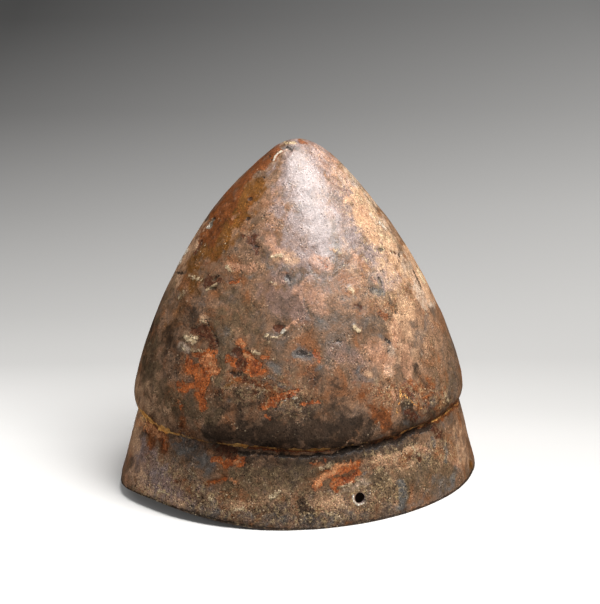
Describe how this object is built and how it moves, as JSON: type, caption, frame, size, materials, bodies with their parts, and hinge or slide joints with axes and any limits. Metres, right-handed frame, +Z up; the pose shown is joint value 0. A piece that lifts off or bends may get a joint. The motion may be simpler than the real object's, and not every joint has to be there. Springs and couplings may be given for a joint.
{
  "type": "conical helmet",
  "caption": "Conical bronze helmet: a pointed dome with a rounded lip over a groove and a flaring rim, hollow and open below for the head, with strap holes in the rim.",
  "frame": {"origin": "centre of the rim's footprint, on the surface that the helmet stands on", "axes": "+Z up to the tip; the brow faces -Y and the nape +Y, along the oval's long axis; a strap hole on each of -X and +X"},
  "size_m": [0.2006, 0.228, 0.215],
  "materials": {
    "patinated_bronze": "hammered bronze sheet under a mottled brown burial patina with copper-red, ochre, grey and cream crusts"
  },
  "bodies": {
    "root": {"helmet_shell": "patinated_bronze"}
  },
  "joints": []
}
